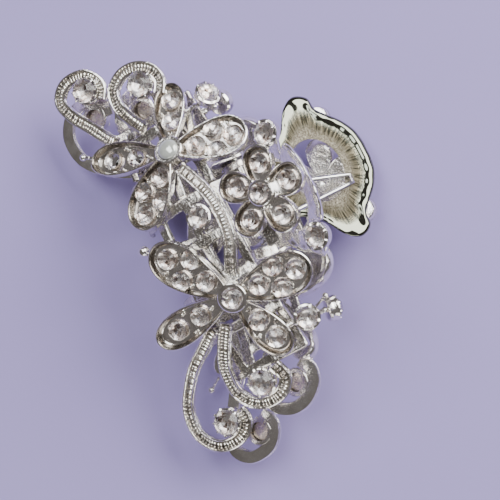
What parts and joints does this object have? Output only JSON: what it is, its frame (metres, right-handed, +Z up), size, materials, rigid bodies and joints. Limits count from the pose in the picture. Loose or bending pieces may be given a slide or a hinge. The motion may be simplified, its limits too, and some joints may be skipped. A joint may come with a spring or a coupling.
{
  "type": "rhinestone hair claw clip",
  "caption": "Sprung claw hair clip: two toothed jaws on one hinge pin, faced with stone-set flowers, curled beaded bands and single stones, with pierced finger plates.",
  "frame": {"origin": "centre of the clip's outline on the table it lies on, with the jaws closed", "axes": "+X along the hinge pin, +Y level towards the finger plates, +Z up out of the front jaw"},
  "size_m": [0.094, 0.0612, 0.0441],
  "materials": {
    "silver_plating": "bright silver plating over a cast alloy, frosted in the recesses",
    "crystal": "clear cut stones with a foil back",
    "spring_steel": "drawn and plated steel wire and pin"
  },
  "bodies": {
    "back_jaw": {"back_rib_frame": "silver_plating", "back_finger_plate": "silver_plating", "back_left_flower": "silver_plating", "back_right_flower": "silver_plating", "back_small_flower": "silver_plating", "back_tall_curl": "silver_plating", "back_wide_curl": "silver_plating", "back_inner_curl": "silver_plating", "back_outer_curl": "silver_plating", "back_stem_band": "silver_plating", "back_stone_cups": "silver_plating", "back_ball_sprigs": "silver_plating", "back_left_flower_stones": "crystal", "back_right_flower_stones": "crystal", "back_small_flower_stones": "crystal", "back_curl_stones": "crystal", "back_cup_stones": "crystal", "hinge_pin": "spring_steel", "torsion_spring": "spring_steel"},
    "front_jaw": {"front_rib_frame": "silver_plating", "front_finger_plate": "silver_plating", "front_left_flower": "silver_plating", "front_right_flower": "silver_plating", "front_small_flower": "silver_plating", "front_tall_curl": "silver_plating", "front_wide_curl": "silver_plating", "front_inner_curl": "silver_plating", "front_outer_curl": "silver_plating", "front_stem_band": "silver_plating", "front_stone_cups": "silver_plating", "front_ball_sprigs": "silver_plating", "front_left_flower_stones": "crystal", "front_right_flower_stones": "crystal", "front_small_flower_stones": "crystal", "front_curl_stones": "crystal", "front_cup_stones": "crystal"}
  },
  "joints": [
    {"name": "jaw_hinge", "type": "hinge", "parent": "back_jaw", "child": "front_jaw", "pos_m": [0, 0.00421, 0.01838], "axis": [-1, 0, 0], "range_deg": [0, 50], "stiffness_Nm_per_rad": 0.1, "springref_deg": -28.65, "deforming": ["torsion_spring"]}
  ]
}
